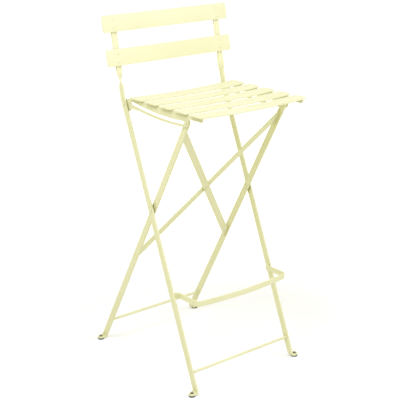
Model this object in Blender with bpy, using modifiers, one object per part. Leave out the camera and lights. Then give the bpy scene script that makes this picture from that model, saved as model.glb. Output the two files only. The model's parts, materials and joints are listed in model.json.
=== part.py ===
"""Folding bar-height bistro chair: a scissor frame of flat steel bar with a slatted seat and back.

Metres, +Z up. The sitter faces -Y, and left means -X. The origin is on the floor, in the middle
between the chair's sides and midway between its seat's front edge and its rear feet. The chair
stands open.

The long bars run from the front feet up to the backrest. The short bars run from the rear feet
up to the front of the seat and cross the long bars at the leg pivot. The seat turns on the long
bars at its rear and slides on a pin at the top of each short bar. The seat turns by a fixed
share of what the legs turn, and its slot is the path that the pin then takes.
"""

from math import atan2, cos, degrees, pi, radians, sin, sqrt, tan

import bmesh
import bpy
from mathutils import Matrix, Vector

# Stance of the open chair
FOOT_SPREAD = 0.446
FRONT_LEAN = radians(22.3)
REAR_LEAN = radians(28.75)
CLOSED_ANGLE = radians(5.05)
SEAT_HEIGHT = 0.7562

# Flat bar of the legs and posts
BAR_WIDTH = 0.0185
BAR_THICKNESS = 0.005
BAR_EDGE = 0.0009
SHORT_BAR_OVER_PIN = 0.0095

# Fits
SEATING_GAP = 0.0003
SIDE_CLEARANCE = 0.00045
HOLE_CLEARANCE = 0.0003
SLOT_CLEARANCE = 0.0007

# Backrest
POST_LEAN = radians(11.6)
POST_BEND_ABOVE_PIVOT = 0.0144
POST_BEND_RADIUS = 0.05
TWIST_LENGTH = 0.06
TWIST_BELOW_SLAT = 0.003
BACK_RISE = 0.0839
BACK_SLAT_LENGTH = 0.4198
BACK_SLAT_WIDTH = 0.045
BACK_SLAT_GAP = 0.0435
BACK_SLAT_END_BOW = 0.0006
BACK_RIVET_PITCH = 0.021
POST_TOP_INSET = 0.005

# Pressed sheet of the slats
SLAT_SHEET = 0.0035
SLAT_CROWN = 0.0005
SLAT_CORNER = 0.0035

# Seat
SEAT_SLAT_COUNT = 5
SEAT_SLAT_LENGTH = 0.362
SEAT_SLAT_OVERHANG = 0.01075
SEAT_SLAT_DISH = 0.0045
SEAT_SLAT_END_BOW = 0.0035
SEAT_SLAT_WIDTH = 0.0455
REAR_SLAT_WIDTH = 0.0515
SEAT_SLAT_GAP = 0.0155
SEAT_REAR_SETBACK = 0.0296
SEAT_PIVOT_DROP = 0.0224
SEAT_FOLD_RATIO = 0.65
RAIL_THICKNESS = 0.004
RAIL_FRONT_HEIGHT = 0.011
RAIL_FRONT_INSET = 0.006
RAIL_FRONT_CORNER = 0.006
GUIDE_WALL = 0.0065
STOP_LUG_RADIUS = 0.008
STOP_LUG_AHEAD = 0.015

# Rivets and pins
LEG_RIVET_RADIUS = 0.0032
LEG_RIVET_HEAD_RADIUS = 0.0062
SEAT_RIVET_RADIUS = 0.003
SEAT_RIVET_HEAD_RADIUS = 0.0055
BACK_RIVET_RADIUS = 0.002
BACK_RIVET_HEAD_RADIUS = 0.0038
BRACE_RIVET_RADIUS = 0.0025
BRACE_RIVET_HEAD_RADIUS = 0.005
RIVET_HEAD_HEIGHT = 0.002
BACK_RIVET_HEAD_HEIGHT = 0.0009
SLOT_PIN_RADIUS = 0.0035
SLOT_PIN_SHANK_RADIUS = 0.0028
SLOT_PIN_HEAD_RADIUS = 0.006
SLOT_PIN_TAIL_RADIUS = 0.0045
PIN_ARM_EXTRA = 0.0097
SPACER_RADIUS = 0.0055

# Rear X-brace, stretchers and footrest
BRACE_WIDTH = 0.0195
BRACE_THICKNESS = 0.004
BRACE_SPAN = 0.443
BRACE_BELOW_PIN = 0.0223
STRETCHER_RADIUS = 0.0037
FRONT_STRETCHER_HEIGHT = 0.0555
REAR_STRETCHER_HEIGHT = 0.0685
FOOTREST_HEIGHT = 0.25
FOOTREST_BAR_HEIGHT = 0.0155
FOOTREST_BAR_THICKNESS = 0.004
FOOTREST_REACH = 0.0987
FOOTREST_BOW = 0.0132
FOOTREST_CORNER = 0.012
FOOTREST_INSET = 0.0139
FOOTREST_ROOT_RADIUS = 0.008
FOOTREST_ROOT_AHEAD = 0.004

# Feet
FOOT_OFFSET = 0.014
FOOT_BEND_RADIUS = 0.0065
FOOT_TIP_RADIUS = 0.0088
GLIDE_RADIUS = 0.0088
GLIDE_THICKNESS = 0.0036
GLIDE_EDGE = 0.001
GLIDE_STEM_RADIUS = 0.003
GLIDE_CAP_RADIUS = 0.0044
GLIDE_CAP_HEIGHT = 0.003

# Facets of the round stretches, and the tolerances of the modelling
ARC_STEPS = 6
CORNER_STEPS = 4
DOME_STEPS = 3
ROUND_STEPS = 16
RIVET_STEPS = 12
TWIST_STEPS = 8
CROWN_STEPS = 8
DISH_STEPS = 8
SLOT_STEPS = 12
ROUND_TIP_STOP = 0.3
LEAST_FLAT_SHARE = 0.2
CUTTER_PASSES = 4
TRIM_ALLOWANCE = 0.0005
WELD_DISTANCE = 1e-6
SCREW_WELD_DISTANCE = 1e-5
SHARP_ANGLE = radians(35)

# Colours, linear
LEMON = (0.89, 0.87, 0.5, 1.0)
BLACK = (0.015, 0.015, 0.016, 1.0)

# Places that follow from the sizes
LEFT = -1
RIGHT = 1
SIDES = {"left": LEFT, "right": RIGHT}
RAIL_X = SEAT_SLAT_LENGTH / 2 - SEAT_SLAT_OVERHANG - RAIL_THICKNESS / 2
LONG_X = RAIL_X + RAIL_THICKNESS / 2 + SIDE_CLEARANCE + BAR_THICKNESS / 2
SHORT_X = RAIL_X - RAIL_THICKNESS / 2 - SIDE_CLEARANCE - BAR_THICKNESS / 2
LONG_UP = Vector((0, sin(FRONT_LEAN), cos(FRONT_LEAN)))
SHORT_UP = Vector((0, -sin(REAR_LEAN), cos(REAR_LEAN)))
POST_UP = Vector((0, sin(POST_LEAN), cos(POST_LEAN)))
POST_FRONT = Vector((0, -cos(POST_LEAN), sin(POST_LEAN)))
CROSS_HEIGHT = FOOT_SPREAD / (tan(FRONT_LEAN) + tan(REAR_LEAN))
PIVOT_ARM = (SEAT_HEIGHT - SEAT_PIVOT_DROP - CROSS_HEIGHT) / cos(FRONT_LEAN)
PIN_ARM = PIVOT_ARM + PIN_ARM_EXTRA
SEAT_DEPTH = REAR_SLAT_WIDTH + (SEAT_SLAT_COUNT - 1) * (SEAT_SLAT_WIDTH + SEAT_SLAT_GAP)
TAB_HEIGHT = GLIDE_THICKNESS + SEATING_GAP + BAR_THICKNESS / 2
FRONT_REACH = SEAT_REAR_SETBACK + SEAT_DEPTH - PIVOT_ARM * LONG_UP.y
REAR_REACH = (CROSS_HEIGHT - TAB_HEIGHT) * tan(REAR_LEAN) + BAR_WIDTH / (2 * SHORT_UP.z)
LEG_PIVOT = Vector((0, (FRONT_REACH - REAR_REACH) / 2, CROSS_HEIGHT))
SEAT_PIVOT = LEG_PIVOT + PIVOT_ARM * LONG_UP
SLOT_PIN = LEG_PIVOT + PIN_ARM * SHORT_UP
POST_BEND = SEAT_PIVOT + POST_BEND_ABOVE_PIVOT * LONG_UP
SLOT_HALF = SLOT_PIN_RADIUS + SLOT_CLEARANCE
GUIDE_RADIUS = SLOT_HALF + GUIDE_WALL
SEAT_UNDERSIDE = SEAT_HEIGHT - SLAT_CROWN - SLAT_SHEET
SEAT_REAR_EDGE = SEAT_PIVOT.y - SEAT_REAR_SETBACK
LEG_FOLD_RANGE = FRONT_LEAN + REAR_LEAN - CLOSED_ANGLE

for old in list(bpy.data.objects):
    bpy.data.objects.remove(old, do_unlink=True)


def new_collection(name):
    collection = bpy.data.collections.new(name)
    bpy.context.scene.collection.children.link(collection)
    return collection


def new_material(name, colour, roughness, metallic):
    material = bpy.data.materials.new(name)
    material.use_nodes = True
    shader = material.node_tree.nodes["Principled BSDF"]
    shader.inputs["Base Color"].default_value = colour
    shader.inputs["Roughness"].default_value = roughness
    shader.inputs["Metallic"].default_value = metallic
    material.diffuse_color = colour
    return material


def new_body(name, place):
    """An empty on the body's joint axis, which carries the body's pieces."""
    empty = bpy.data.objects.new(name, None)
    empty.location = place
    PARTS.objects.link(empty)
    bpy.context.view_layer.update()
    return empty


PARTS = new_collection("folding_bistro_chair")
CUTTERS = new_collection("cutters")
PAINT = new_material("lemon_paint", LEMON, 0.38, 0.0)
PLASTIC = new_material("black_plastic", BLACK, 0.5, 0.0)
FRONT_FRAME = new_body("front_frame", (0, 0, 0))
REAR_FRAME = new_body("rear_frame", LEG_PIVOT)
SEAT = new_body("seat", SEAT_PIVOT)


def add_piece(name, mesh, body, matrix, material=None):
    """Puts a mesh in the parts collection, with its own frame, under its body."""
    piece = bpy.data.objects.new(name, mesh)
    mesh.materials.append(material or PAINT)
    PARTS.objects.link(piece)
    piece.parent = body
    piece.matrix_parent_inverse = body.matrix_world.inverted()
    piece.matrix_basis = matrix
    return piece


def finished_mesh(name, shape):
    """A mesh from a bmesh, welded, facing out and shaded smooth between sharp edges."""
    bmesh.ops.remove_doubles(shape, verts=shape.verts, dist=WELD_DISTANCE)
    bmesh.ops.recalc_face_normals(shape, faces=shape.faces)
    mesh = bpy.data.meshes.new(name)
    shape.to_mesh(mesh)
    shape.free()
    mesh.shade_smooth()
    mesh.set_sharp_from_angle(angle=SHARP_ANGLE)
    return mesh


def frame_at(place, along_x, along_y):
    """A frame whose X and Y axes are given, with Z square to both."""
    axis_x = Vector(along_x).normalized()
    axis_y = Vector(along_y).normalized()
    axis_z = axis_x.cross(axis_y)
    turn = Matrix((axis_x, axis_y, axis_z)).transposed().to_4x4()
    return Matrix.Translation(place) @ turn


def arc(centre, radius, start, end, steps=ARC_STEPS):
    """Points of an arc in the plane, both ends included."""
    points = []
    for step in range(steps + 1):
        angle = start + (end - start) * step / steps
        points.append((centre[0] + radius * cos(angle), centre[1] + radius * sin(angle)))
    return points


def circle(centre, radius, steps=ROUND_STEPS):
    return arc(centre, radius, 0, 2 * pi, steps)[:-1]


def bowed_end(half, reach, bow, corner, shift=0.0, steps=ARC_STEPS):
    """A bowed edge with round corners, from its left side to its right, which bulges down to -reach."""
    bow_radius = (half * half + bow * bow) / (2 * bow)
    bow_centre = bow_radius - reach
    corner_x = half - corner
    corner_y = bow_centre - sqrt((bow_radius - corner) ** 2 - corner_x * corner_x)
    bow_angle = atan2(corner_y - bow_centre, corner_x)
    left = arc((-corner_x, corner_y), corner + shift, -pi, -pi - bow_angle, steps)
    middle = arc((0, bow_centre), bow_radius + shift, -pi - bow_angle, bow_angle, 2 * steps)
    right = arc((corner_x, corner_y), corner + shift, bow_angle, 0, steps)
    return left + middle[1:-1] + right


def beside(path, distance):
    """A path's points, each moved square to the path, to its left."""
    moved = []
    for i, point in enumerate(path):
        run = path[min(i + 1, len(path) - 1)] - path[max(i - 1, 0)]
        moved.append(point + Vector((-run.y, run.x)).normalized() * distance)
    return moved


def heading(start, end):
    return atan2(end.y - start.y, end.x - start.x)


def plate_mesh(name, loops, thickness):
    """A flat outline, with any holes as further loops, given its thickness."""
    curve = bpy.data.curves.new(name, "CURVE")
    curve.dimensions = "2D"
    curve.fill_mode = "BOTH"
    curve.extrude = thickness / 2
    for loop in loops:
        spline = curve.splines.new("POLY")
        spline.points.add(len(loop) - 1)
        for point, (across, up) in zip(spline.points, loop):
            point.co = (across, up, 0, 1)
        spline.use_cyclic_u = True
    drawn = bpy.data.objects.new(name, curve)
    CUTTERS.objects.link(drawn)
    bpy.context.view_layer.update()
    flat = bpy.data.meshes.new_from_object(drawn.evaluated_get(bpy.context.evaluated_depsgraph_get()))
    bpy.data.objects.remove(drawn, do_unlink=True)
    shape = bmesh.new()
    shape.from_mesh(flat)
    bpy.data.meshes.remove(flat)
    return finished_mesh(name, shape)


def bar_section(centre, across, through):
    """Eight points round a flat bar, from its half width and half thickness, with cut corners."""
    side = max(1 - BAR_EDGE / across.length, LEAST_FLAT_SHARE)
    face = max(1 - BAR_EDGE / through.length, LEAST_FLAT_SHARE)
    corners = [(1, face), (side, 1), (-side, 1), (-1, face), (-1, -face), (-side, -1), (side, -1), (1, -face)]
    return [centre + across * a + through * t for a, t in corners]


def loft_mesh(name, sections, origin):
    """A bar that bends and twists through its sections."""
    shape = bmesh.new()
    rings = []
    for points in sections:
        rings.append([shape.verts.new(point - origin) for point in points])
    for lower, upper in zip(rings, rings[1:]):
        for i, corner in enumerate(lower):
            j = (i + 1) % len(lower)
            shape.faces.new((corner, lower[j], upper[j], upper[i]))
    shape.faces.new(rings[0])
    shape.faces.new(rings[-1])
    return finished_mesh(name, shape)


def cylinder(shape, centre, axis, radius, length, steps=ROUND_STEPS):
    turn = Vector(axis).to_track_quat("Z", "X").to_matrix().to_4x4()
    bmesh.ops.create_cone(
        shape,
        cap_ends=True,
        segments=steps,
        radius1=radius,
        radius2=radius,
        depth=length,
        matrix=Matrix.Translation(centre) @ turn,
    )


def drill(piece, holes):
    """Cuts round holes, each a centre, an axis, a radius and a length, out of a piece."""
    shape = bmesh.new()
    for centre, axis, radius, length in holes:
        cylinder(shape, centre, axis, radius, length)
    cutter = bpy.data.objects.new(piece.name + "_holes", finished_mesh(piece.name + "_holes", shape))
    cutter.hide_render = True
    cutter.display_type = "WIRE"
    CUTTERS.objects.link(cutter)
    cut = piece.modifiers.new("holes", "BOOLEAN")
    cut.operation = "DIFFERENCE"
    cut.solver = "EXACT"
    cut.object = cutter


def add_turned(name, profile, body, matrix, material=None, steps=RIVET_STEPS):
    """A turned piece: a profile of radius and height, top to bottom, swept round local Z."""
    shape = bmesh.new()
    points = [shape.verts.new((radius, 0, height)) for radius, height in profile]
    for upper, lower in zip(points, points[1:]):
        shape.edges.new((upper, lower))
    mesh = bpy.data.meshes.new(name)
    shape.to_mesh(mesh)
    shape.free()
    piece = add_piece(name, mesh, body, matrix, material)
    screw = piece.modifiers.new("turn", "SCREW")
    screw.axis = "Z"
    screw.angle = 2 * pi
    screw.steps = steps
    screw.render_steps = steps
    screw.use_merge_vertices = True
    screw.merge_threshold = SCREW_WELD_DISTANCE
    screw.use_smooth_shade = True
    return piece


def dome(radius, base, height):
    """A rivet head's profile, from the middle of its top down to the edge of its base."""
    points = [(0, base + height)]
    for step in range(1, DOME_STEPS + 1):
        angle = pi / 2 * step / DOME_STEPS
        points.append((radius * sin(angle), base + height * cos(angle)))
    return points


def rivet_profile(radius, head_radius, top, bottom, head_height=RIVET_HEAD_HEIGHT):
    """A rivet with a domed head above top and a like tail below bottom."""
    head = dome(head_radius, top, head_height)
    tail = [(r, top + bottom - height) for r, height in head]
    return head + [(radius, top), (radius, bottom)] + tail[::-1]


def outward(side, place, x):
    """A frame at a distance x from the middle plane whose local Z points out of the chair's side."""
    return frame_at(Vector((side * x, place.y, place.z)), (0, side, 0), (0, 0, 1))


def leg_point(x, up, height):
    """The point of a leg's middle line at a height, from its direction through the leg pivot."""
    return Vector((x, LEG_PIVOT.y + (height - LEG_PIVOT.z) * up.y / up.z, height))


def foot_sections(side, x, up):
    """The leg's foot: a level tab with a round end, bent out of the leg's lower end."""
    across = Vector((0, BAR_WIDTH / (2 * up.z), 0))
    half = BAR_THICKNESS / 2
    tab = leg_point(x, up, TAB_HEIGHT)
    sections = []
    for step in range(ARC_STEPS, 0, -1):
        angle = pi / 2 * (step - ROUND_TIP_STOP) / ARC_STEPS
        tip = Vector((side * FOOT_TIP_RADIUS * sin(angle), FOOT_TIP_RADIUS * cos(angle), 0))
        centre = tab + Vector((side * FOOT_OFFSET + tip.x, 0, 0))
        sections.append(bar_section(centre, Vector((0, tip.y, 0)), Vector((0, 0, half))))
    for step in range(ARC_STEPS + 1):
        angle = pi / 2 * step / ARC_STEPS
        through = Vector((side * sin(angle), 0, cos(angle)))
        height = TAB_HEIGHT + FOOT_BEND_RADIUS * (1 - cos(angle))
        centre = leg_point(x, up, height)
        centre.x += side * FOOT_BEND_RADIUS * (1 - sin(angle))
        sections.append(bar_section(centre, across, through * half))
    return sections


def add_long_bar(name, side):
    """Front leg and back post in one bar, bent at the seat and twisted to face forward behind the slats."""
    x = side * LONG_X
    half = BAR_THICKNESS / 2
    outside = Vector((side, 0, 0))
    sections = foot_sections(side, x, LONG_UP)
    bend = FRONT_LEAN - POST_LEAN
    reach = POST_BEND_RADIUS * tan(bend / 2)
    start = POST_BEND - reach * LONG_UP
    for step in range(ARC_STEPS + 1):
        lean = FRONT_LEAN - bend * step / ARC_STEPS
        run = POST_BEND_RADIUS * (cos(lean) - cos(FRONT_LEAN))
        rise = POST_BEND_RADIUS * (sin(FRONT_LEAN) - sin(lean))
        across = Vector((0, cos(lean), -sin(lean))) * BAR_WIDTH / 2
        sections.append(bar_section(start + Vector((x, run, rise)), across, outside * half))
    twist_end = BACK_RISE - TWIST_BELOW_SLAT
    for step in range(TWIST_STEPS + 1):
        share = step / TWIST_STEPS
        turn = pi / 4 * (1 - cos(pi * share))
        across = -POST_FRONT * cos(turn) - outside * sin(turn)
        through = outside * cos(turn) - POST_FRONT * sin(turn)
        centre = POST_BEND + POST_UP * (twist_end - TWIST_LENGTH * (1 - share)) + Vector((x, 0, 0))
        sections.append(bar_section(centre, across * BAR_WIDTH / 2, through * half))
    top_rise = back_slat_rise(1) + BACK_SLAT_WIDTH / 2 - POST_TOP_INSET
    end = POST_BEND + POST_UP * top_rise + Vector((x, 0, 0))
    sections.append(bar_section(end, -outside * BAR_WIDTH / 2, -POST_FRONT * half))
    origin = LEG_PIVOT + Vector((x, 0, 0))
    piece = add_piece(name, loft_mesh(name, sections, origin), FRONT_FRAME, Matrix.Translation(origin))
    deep = CUTTER_PASSES * BAR_THICKNESS
    foot = foot_centre(side, LONG_X, LONG_UP)
    holes = [
        (LEG_PIVOT + Vector((x, 0, 0)), (1, 0, 0), LEG_RIVET_RADIUS + HOLE_CLEARANCE, deep),
        (SEAT_PIVOT + Vector((x, 0, 0)), (1, 0, 0), SEAT_RIVET_RADIUS + HOLE_CLEARANCE, deep),
        (foot + Vector((0, 0, TAB_HEIGHT)), (0, 0, 1), GLIDE_STEM_RADIUS + HOLE_CLEARANCE, deep),
    ]
    for place in back_rivet_places(side):
        holes.append((place, POST_FRONT, BACK_RIVET_RADIUS + HOLE_CLEARANCE, deep))
    drill(piece, holes)


def add_short_bar(name, side):
    """Rear leg, rounded over at its upper end round the slot pin."""
    x = side * SHORT_X
    half = BAR_THICKNESS / 2
    outside = Vector((side, 0, 0))
    square = Vector((0, SHORT_UP.z, -SHORT_UP.y)) * BAR_WIDTH / 2
    sections = foot_sections(side, x, SHORT_UP)
    top = SLOT_PIN + SHORT_UP * (SHORT_BAR_OVER_PIN - square.length) + Vector((x, 0, 0))
    sections.append(bar_section(top, square, outside * half))
    for step in range(1, ARC_STEPS + 1):
        angle = pi / 2 * (step - ROUND_TIP_STOP) / ARC_STEPS
        centre = top + SHORT_UP * square.length * sin(angle)
        sections.append(bar_section(centre, square * cos(angle), outside * half))
    origin = LEG_PIVOT + Vector((x, 0, 0))
    piece = add_piece(name, loft_mesh(name, sections, origin), REAR_FRAME, Matrix.Translation(origin))
    deep = CUTTER_PASSES * BAR_THICKNESS
    foot = foot_centre(side, SHORT_X, SHORT_UP)
    holes = [
        (LEG_PIVOT + Vector((x, 0, 0)), (1, 0, 0), LEG_RIVET_RADIUS + HOLE_CLEARANCE, deep),
        (SLOT_PIN + Vector((x, 0, 0)), (1, 0, 0), SLOT_PIN_SHANK_RADIUS + HOLE_CLEARANCE, deep),
        (foot + Vector((0, 0, TAB_HEIGHT)), (0, 0, 1), GLIDE_STEM_RADIUS + HOLE_CLEARANCE, deep),
    ]
    drill(piece, holes)


def foot_centre(side, x, up):
    """The middle of a glide's sole, on the floor under the foot's tab."""
    tab = leg_point(side * (x + FOOT_OFFSET), up, TAB_HEIGHT)
    return Vector((tab.x, tab.y, 0))


def add_glide(name, side, x, up, body):
    """Black plastic foot: a sole under the tab, a stem through it and a cap that holds it."""
    tab_top = TAB_HEIGHT + BAR_THICKNESS / 2 + SEATING_GAP
    profile = dome(GLIDE_CAP_RADIUS, tab_top, GLIDE_CAP_HEIGHT) + [
        (GLIDE_STEM_RADIUS, tab_top),
        (GLIDE_STEM_RADIUS, GLIDE_THICKNESS),
        (GLIDE_RADIUS, GLIDE_THICKNESS),
        (GLIDE_RADIUS, GLIDE_EDGE),
        (GLIDE_RADIUS - GLIDE_EDGE, 0),
        (0, 0),
    ]
    place = Matrix.Translation(foot_centre(side, x, up))
    add_turned(name, profile, body, place, PLASTIC, ROUND_STEPS)


def add_rod(name, up, height, bar_x, body):
    """A round stretcher, butted between the inner faces of a pair of bars."""
    length = 2 * (bar_x - BAR_THICKNESS / 2 - SEATING_GAP)
    shape = bmesh.new()
    cylinder(shape, (0, 0, 0), (1, 0, 0), STRETCHER_RADIUS, length)
    add_piece(name, finished_mesh(name, shape), body, Matrix.Translation(leg_point(0, up, height)))


def crowned_slat(name, body, matrix, width, length, end_bow, dish=0.0):
    """A pressed strip along local Z, arched over its width and dished along its length, with bowed ends."""
    top = []
    for step in range(CROWN_STEPS + 1):
        across = (width + 2 * TRIM_ALLOWANCE) * (step / CROWN_STEPS - 1 / 2)
        top.append((across, slat_surface(across, width)))
    ring = top + [(across, rise - SLAT_SHEET) for across, rise in reversed(top)]
    sections = []
    for step in range(DISH_STEPS + 1):
        along = (length + 2 * TRIM_ALLOWANCE) * (step / DISH_STEPS - 1 / 2)
        sag = slat_sag(along, length, dish)
        sections.append([Vector((across, rise - sag, along)) for across, rise in ring])
    piece = add_piece(name, loft_mesh(name, sections, Vector((0, 0, 0))), body, matrix)
    end = bowed_end(width / 2, length / 2, end_bow, SLAT_CORNER, steps=CORNER_STEPS)
    plan = end + [(-across, -along) for across, along in end]
    plan_mesh = plate_mesh(name + "_plan", [plan], CUTTER_PASSES * (SLAT_CROWN + SLAT_SHEET + dish))
    trimmer = bpy.data.objects.new(name + "_plan", plan_mesh)
    trimmer.matrix_world = matrix @ Matrix.Rotation(pi / 2, 4, "X")
    trimmer.hide_render = True
    trimmer.display_type = "WIRE"
    CUTTERS.objects.link(trimmer)
    trim = piece.modifiers.new("ends", "BOOLEAN")
    trim.operation = "INTERSECT"
    trim.solver = "EXACT"
    trim.object = trimmer
    return piece


def slat_surface(offset, width):
    """Height of a slat's outer face over its edges, at an offset from its middle."""
    share = 2 * offset / width
    return SLAT_CROWN * (1 - share * share) + SLAT_SHEET


def slat_sag(along, length, dish):
    """How far a dished slat lies below its ends, at a distance from its middle."""
    share = 2 * along / length
    return dish * (1 - share * share)


def back_slat_rise(index):
    """Distance along the post from its bend to the middle of a back slat, the lower one first."""
    return BACK_RISE + BACK_SLAT_WIDTH / 2 + index * (BACK_SLAT_WIDTH + BACK_SLAT_GAP)


def back_rivet_places(side, slats=(0, 1)):
    """Where the back slats' rivets cross the middle plane of a post."""
    places = []
    for index in slats:
        for step in (-1, 1):
            rise = back_slat_rise(index) + step * BACK_RIVET_PITCH / 2
            places.append(POST_BEND + POST_UP * rise + Vector((side * LONG_X, 0, 0)))
    return places


def add_back_slat(name, index):
    seat = POST_BEND + POST_UP * back_slat_rise(index)
    place = seat + POST_FRONT * (BAR_THICKNESS / 2 + SEATING_GAP)
    matrix = frame_at(place, POST_UP, POST_FRONT)
    piece = crowned_slat(name, FRONT_FRAME, matrix, BACK_SLAT_WIDTH, BACK_SLAT_LENGTH, BACK_SLAT_END_BOW)
    deep = CUTTER_PASSES * (BAR_THICKNESS + SLAT_CROWN + SLAT_SHEET)
    holes = []
    for side in SIDES.values():
        for rivet in back_rivet_places(side, (index,)):
            holes.append((rivet, POST_FRONT, BACK_RIVET_RADIUS + HOLE_CLEARANCE, deep))
    drill(piece, holes)


def add_back_rivets(index, slat_name):
    """The four rivets that hold a back slat on the posts."""
    inner = BACK_RIVET_PITCH / 2 - BACK_RIVET_HEAD_RADIUS
    slat_foot = BAR_THICKNESS / 2 + SEATING_GAP
    top = slat_foot + slat_surface(max(inner, 0), BACK_SLAT_WIDTH) + SEATING_GAP
    bottom = -BAR_THICKNESS / 2 - SEATING_GAP
    profile = rivet_profile(
        BACK_RIVET_RADIUS, BACK_RIVET_HEAD_RADIUS, top, bottom, BACK_RIVET_HEAD_HEIGHT
    )
    for side_name, side in SIDES.items():
        for level, place in zip(("lower", "upper"), back_rivet_places(side, (index,))):
            name = f"{slat_name}_{side_name}_{level}_rivet"
            add_turned(name, profile, FRONT_FRAME, frame_at(place, (1, 0, 0), POST_UP))


def add_footrest(name):
    """A flat bar on edge, bent to a bowed U, with its ends turned out to the front legs."""
    leg_face = LONG_X - BAR_THICKNESS / 2 - SEATING_GAP
    arm = leg_face - FOOTREST_INSET
    root_x = arm + FOOTREST_ROOT_RADIUS
    root_y = -FOOTREST_ROOT_AHEAD - FOOTREST_ROOT_RADIUS

    def path(shift):
        """The bar's middle line from the left leg to the right one, shifted outward."""
        left_root = arc((-root_x, root_y), FOOTREST_ROOT_RADIUS - shift, pi / 2, 0)
        right_root = arc((root_x, root_y), FOOTREST_ROOT_RADIUS - shift, pi, pi / 2)
        front = bowed_end(arm, FOOTREST_REACH, FOOTREST_BOW, FOOTREST_CORNER, shift)
        left_end = (-leg_face, -FOOTREST_ROOT_AHEAD - shift)
        right_end = (leg_face, -FOOTREST_ROOT_AHEAD - shift)
        return [left_end] + left_root + front + right_root + [right_end]

    half = FOOTREST_BAR_THICKNESS / 2
    outline = path(half) + path(-half)[::-1]
    mesh = plate_mesh(name, [outline], FOOTREST_BAR_HEIGHT)
    legs = leg_point(0, LONG_UP, FOOTREST_HEIGHT)
    add_piece(name, mesh, FRONT_FRAME, Matrix.Translation(legs))


def brace_shape():
    """Half the X-brace's clear span, half its bar's height on a leg, and its crossing over the leg pivot."""
    end_x = SHORT_X - BAR_THICKNESS / 2 - SEATING_GAP
    slope = atan2(BRACE_SPAN, 2 * end_x)
    rise = BRACE_WIDTH / (2 * cos(slope))
    top = PIN_ARM - BRACE_BELOW_PIN - rise
    return end_x, rise, LEG_PIVOT + SHORT_UP * (top - BRACE_SPAN / 2)


def add_brace(name, top_side, layer):
    """One flat bar of the rear X-brace, butted between the short bars, ahead of its twin or behind it."""
    end_x, rise, crossing = brace_shape()
    half = BRACE_SPAN / 2
    outline = [
        (top_side * end_x, half - rise),
        (top_side * end_x, half + rise),
        (-top_side * end_x, -half + rise),
        (-top_side * end_x, -half - rise),
    ]
    hole = circle((0, 0), BRACE_RIVET_RADIUS + HOLE_CLEARANCE)
    ahead = Vector((1, 0, 0)).cross(SHORT_UP)
    place = crossing + ahead * layer * (BRACE_THICKNESS + SEATING_GAP) / 2
    mesh = plate_mesh(name, [outline, hole], BRACE_THICKNESS)
    add_piece(name, mesh, REAR_FRAME, frame_at(place, (1, 0, 0), SHORT_UP))


def add_brace_rivet(name):
    brace_face = BRACE_THICKNESS + SEATING_GAP / 2
    top = brace_face + SEATING_GAP
    profile = rivet_profile(BRACE_RIVET_RADIUS, BRACE_RIVET_HEAD_RADIUS, top, -top)
    add_turned(name, profile, REAR_FRAME, frame_at(brace_shape()[2], (1, 0, 0), SHORT_UP))


def seat_slat_layout():
    """Each seat slat's middle and width, the rear one first."""
    slats = []
    edge = SEAT_REAR_EDGE
    for index in range(SEAT_SLAT_COUNT):
        width = REAR_SLAT_WIDTH if index == 0 else SEAT_SLAT_WIDTH
        slats.append((edge - width / 2, width))
        edge -= width + SEAT_SLAT_GAP
    return slats


def add_seat_slats():
    for index, (middle, width) in enumerate(seat_slat_layout()):
        name = f"seat_slat_{index + 1}"
        matrix = frame_at((0, middle, SEAT_UNDERSIDE), (0, 1, 0), (0, 0, 1))
        crowned_slat(name, SEAT, matrix, width, SEAT_SLAT_LENGTH, SEAT_SLAT_END_BOW, SEAT_SLAT_DISH)


def pin_in_seat(turn):
    """The slot pin's place from the seat pivot, in the seat's own frame, once the legs have turned."""
    lean = REAR_LEAN - turn
    pin = LEG_PIVOT + PIN_ARM * Vector((0, -sin(lean), cos(lean))) - SEAT_PIVOT
    return Matrix.Rotation(SEAT_FOLD_RATIO * turn, 2) @ Vector((pin.y, pin.z))


def rail_loops():
    """The seat rail's outline, pin slot and pivot hole, seen from +X and measured from the seat pivot."""
    path = [pin_in_seat(LEG_FOLD_RANGE * step / SLOT_STEPS) for step in range(SLOT_STEPS + 1)]
    ahead = heading(path[0], path[1])
    behind = heading(path[-2], path[-1])
    slot = beside(path, SLOT_HALF)
    slot += arc(path[-1], SLOT_HALF, behind + pi / 2, behind - pi / 2)[1:-1]
    slot += beside(path, -SLOT_HALF)[::-1]
    slot += arc(path[0], SLOT_HALF, ahead - pi / 2, ahead - 3 * pi / 2)[1:-1]
    guide = [point for point in beside(path, -GUIDE_RADIUS) if point.y < -GUIDE_RADIUS]
    inner_face = RAIL_X - RAIL_THICKNESS / 2
    sag = slat_sag(inner_face, SEAT_SLAT_LENGTH, SEAT_SLAT_DISH)
    top = SEAT_UNDERSIDE - sag - SEATING_GAP - SEAT_PIVOT.z
    web = top - RAIL_FRONT_HEIGHT
    front = RAIL_FRONT_INSET - SEAT_REAR_SETBACK - SEAT_DEPTH
    nose = path[0].x - GUIDE_RADIUS
    corner = RAIL_FRONT_CORNER
    outline = [(front, top), (-SEAT_REAR_SETBACK, top)]
    outline += arc((0, 0), GUIDE_RADIUS, pi / 2, -pi / 2, 2 * ARC_STEPS)
    outline += arc((-STOP_LUG_AHEAD, -GUIDE_RADIUS), STOP_LUG_RADIUS, 0, -pi)
    outline += guide[:0:-1]
    outline += arc(path[0], GUIDE_RADIUS, ahead - pi / 2, -pi)
    outline += arc((nose - corner, web - corner), corner, 0, pi / 2)
    outline += arc((front + corner, web + corner), corner, -pi / 2, -pi)
    return [outline, slot, circle((0, 0), SEAT_RIVET_RADIUS + HOLE_CLEARANCE)]


def add_seat_rail(name, side):
    mesh = plate_mesh(name, rail_loops(), RAIL_THICKNESS)
    place = SEAT_PIVOT + Vector((side * RAIL_X, 0, 0))
    add_piece(name, mesh, SEAT, frame_at(place, (0, 1, 0), (0, 0, 1)))


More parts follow.
